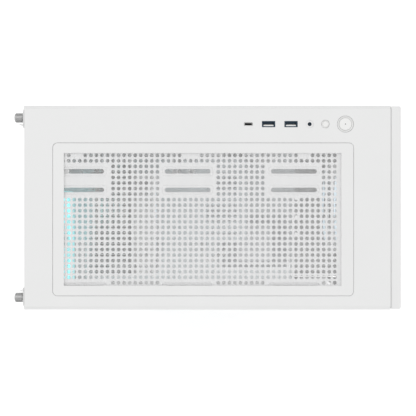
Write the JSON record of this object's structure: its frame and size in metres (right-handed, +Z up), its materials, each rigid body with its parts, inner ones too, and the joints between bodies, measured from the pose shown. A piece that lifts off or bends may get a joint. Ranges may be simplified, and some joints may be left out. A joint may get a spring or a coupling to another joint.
{
  "type": "desktop computer tower",
  "caption": "White micro-ATX desktop computer tower with top sockets, magnetic top filter, mesh front and glass side panel.",
  "frame": {"origin": "on the floor, at the middle of the footprint with the thumbscrews, to within 2 mm along the length", "axes": "+Z up; -Y towards the front bezel; +X towards the cable side, where the top sockets are; -X towards the glass"},
  "size_m": [0.2164, 0.4132, 0.4256],
  "materials": {
    "white_steel": "fine textured white powder coat",
    "white_plastic": "satin",
    "clear_ring": "gloss",
    "mesh_white": "fine mesh",
    "tinted_glass": "polished, lightly tinted",
    "steel": "nickel plated",
    "aluminium": "bead blasted",
    "black_plastic": "matte",
    "rubber": "matte",
    "circuit_board": "solder mask, satin",
    "fan_plastic": "translucent, lit blue-green in use",
    "white_cable": "woven sleeve"
  },
  "bodies": {
    "chassis": {"chassis_base": "white_steel", "rear_panel": "white_steel", "front_frame": "white_steel", "motherboard_tray": "white_steel", "psu_shroud": "white_steel", "top_panel": "white_steel", "slot_cover_3": "white_steel", "slot_cover_4": "white_steel", "power_supply": "white_steel", "audio_jack": "white_plastic", "memory_module_1": "white_plastic", "memory_module_2": "white_plastic", "graphics_card_board": "white_plastic", "graphics_card_shroud": "white_plastic", "power_button_ring": "clear_ring", "usb_a_port_1": "steel", "usb_a_port_2": "steel", "usb_c_port": "steel", "io_shield": "steel", "processor": "aluminium", "cpu_heatsink": "aluminium", "ssd": "aluminium", "foot_front_left": "rubber", "foot_front_right": "rubber", "foot_rear_left": "rubber", "foot_rear_right": "rubber", "io_board": "circuit_board", "motherboard": "circuit_board", "rear_fan_frame": "fan_plastic", "front_fan_top_frame": "fan_plastic", "front_fan_middle_frame": "fan_plastic", "front_fan_bottom_frame": "fan_plastic", "cpu_fan_frame": "fan_plastic", "main_power_cable": "white_cable", "cpu_power_cable": "white_cable", "graphics_power_cable": "white_cable", "front_io_cable": "white_cable"},
    "power_button": {"power_button": "white_plastic"},
    "reset_button": {"reset_button": "white_plastic"},
    "left_side_panel": {"left_panel_frame": "white_steel", "side_glass": "tinted_glass"},
    "right_side_panel": {"right_panel": "white_steel"},
    "front_cover": {"front_panel": "white_plastic", "front_mesh": "mesh_white"},
    "top_filter": {"top_filter_frame": "white_plastic", "top_filter_mesh": "mesh_white"},
    "psu_filter": {"psu_filter": "black_plastic"},
    "psu_switch": {"psu_switch": "black_plastic"},
    "thumbscrew_left_top": {"thumbscrew_left_top": "steel"},
    "thumbscrew_left_bottom": {"thumbscrew_left_bottom": "steel"},
    "thumbscrew_right_top": {"thumbscrew_right_top": "steel"},
    "thumbscrew_right_bottom": {"thumbscrew_right_bottom": "steel"},
    "rear_fan_rotor": {"rear_fan_rotor": "fan_plastic"},
    "front_fan_top_rotor": {"front_fan_top_rotor": "fan_plastic"},
    "front_fan_middle_rotor": {"front_fan_middle_rotor": "fan_plastic"},
    "front_fan_bottom_rotor": {"front_fan_bottom_rotor": "fan_plastic"},
    "cpu_fan_rotor": {"cpu_fan_rotor": "fan_plastic"},
    "graphics_fan_rotor_1": {"graphics_fan_rotor_1": "fan_plastic"},
    "graphics_fan_rotor_2": {"graphics_fan_rotor_2": "fan_plastic"},
    "psu_fan_rotor": {"psu_fan_rotor": "black_plastic"}
  },
  "joints": [
    {"name": "power_button_press", "type": "slide", "parent": "chassis", "child": "power_button", "axis": [0, 0, -1], "range_m": [0, 0.0012], "stiffness_N_per_m": 900},
    {"name": "reset_button_press", "type": "slide", "parent": "chassis", "child": "reset_button", "axis": [0, 0, -1], "range_m": [0, 0.0012], "stiffness_N_per_m": 700},
    {"name": "left_panel_slide", "type": "slide", "parent": "chassis", "child": "left_side_panel", "axis": [0, 1, 0], "range_m": [0, 0.018]},
    {"name": "right_panel_slide", "type": "slide", "parent": "chassis", "child": "right_side_panel", "axis": [0, 1, 0], "range_m": [0, 0.018]},
    {"name": "front_cover_pull", "type": "slide", "parent": "chassis", "child": "front_cover", "axis": [0, -1, 0], "range_m": [0, 0.04]},
    {"name": "top_filter_lift", "type": "slide", "parent": "chassis", "child": "top_filter", "axis": [0, 0, 1], "range_m": [0, 0.06]},
    {"name": "psu_filter_slide", "type": "slide", "parent": "chassis", "child": "psu_filter", "axis": [0, 1, 0], "range_m": [0, 0.165]},
    {"name": "psu_switch_rock", "type": "hinge", "parent": "chassis", "child": "psu_switch", "pos_m": [0.018, 0.18975, 0.076], "axis": [1, 0, 0], "range_deg": [-14, 0]},
    {"name": "thumbscrew_left_top_turn", "type": "hinge", "parent": "left_side_panel", "child": "thumbscrew_left_top", "pos_m": [-0.0968, 0.1968, 0.4075], "axis": [0, 1, 0], "continuous": true},
    {"name": "thumbscrew_left_bottom_turn", "type": "hinge", "parent": "left_side_panel", "child": "thumbscrew_left_bottom", "pos_m": [-0.0968, 0.1968, 0.036], "axis": [0, 1, 0], "continuous": true},
    {"name": "thumbscrew_right_top_turn", "type": "hinge", "parent": "right_side_panel", "child": "thumbscrew_right_top", "pos_m": [0.0968, 0.1968, 0.4075], "axis": [0, 1, 0], "continuous": true},
    {"name": "thumbscrew_right_bottom_turn", "type": "hinge", "parent": "right_side_panel", "child": "thumbscrew_right_bottom", "pos_m": [0.0968, 0.1968, 0.036], "axis": [0, 1, 0], "continuous": true},
    {"name": "rear_fan_spin", "type": "hinge", "parent": "chassis", "child": "rear_fan_rotor", "pos_m": [-0.04, 0.18145, 0.3], "axis": [0, 1, 0], "continuous": true},
    {"name": "front_fan_top_spin", "type": "hinge", "parent": "chassis", "child": "front_fan_top_rotor", "pos_m": [0, -0.17935, 0.34], "axis": [0, 1, 0], "continuous": true},
    {"name": "front_fan_middle_spin", "type": "hinge", "parent": "chassis", "child": "front_fan_middle_rotor", "pos_m": [0, -0.17935, 0.2185], "axis": [0, 1, 0], "continuous": true},
    {"name": "front_fan_bottom_spin", "type": "hinge", "parent": "chassis", "child": "front_fan_bottom_rotor", "pos_m": [0, -0.17935, 0.097], "axis": [0, 1, 0], "continuous": true},
    {"name": "cpu_fan_spin", "type": "hinge", "parent": "chassis", "child": "cpu_fan_rotor", "pos_m": [-0.018, 0.074, 0.305], "axis": [0, 1, 0], "continuous": true},
    {"name": "graphics_fan_1_spin", "type": "hinge", "parent": "chassis", "child": "graphics_fan_rotor_1", "pos_m": [0.0095, 0.114, 0.184], "axis": [0, 0, 1], "continuous": true},
    {"name": "graphics_fan_2_spin", "type": "hinge", "parent": "chassis", "child": "graphics_fan_rotor_2", "pos_m": [0.0095, 0.015, 0.184], "axis": [0, 0, 1], "continuous": true},
    {"name": "psu_fan_spin", "type": "hinge", "parent": "chassis", "child": "psu_fan_rotor", "pos_m": [0.003, 0.11013, 0.03], "axis": [0, 0, 1], "continuous": true}
  ]
}
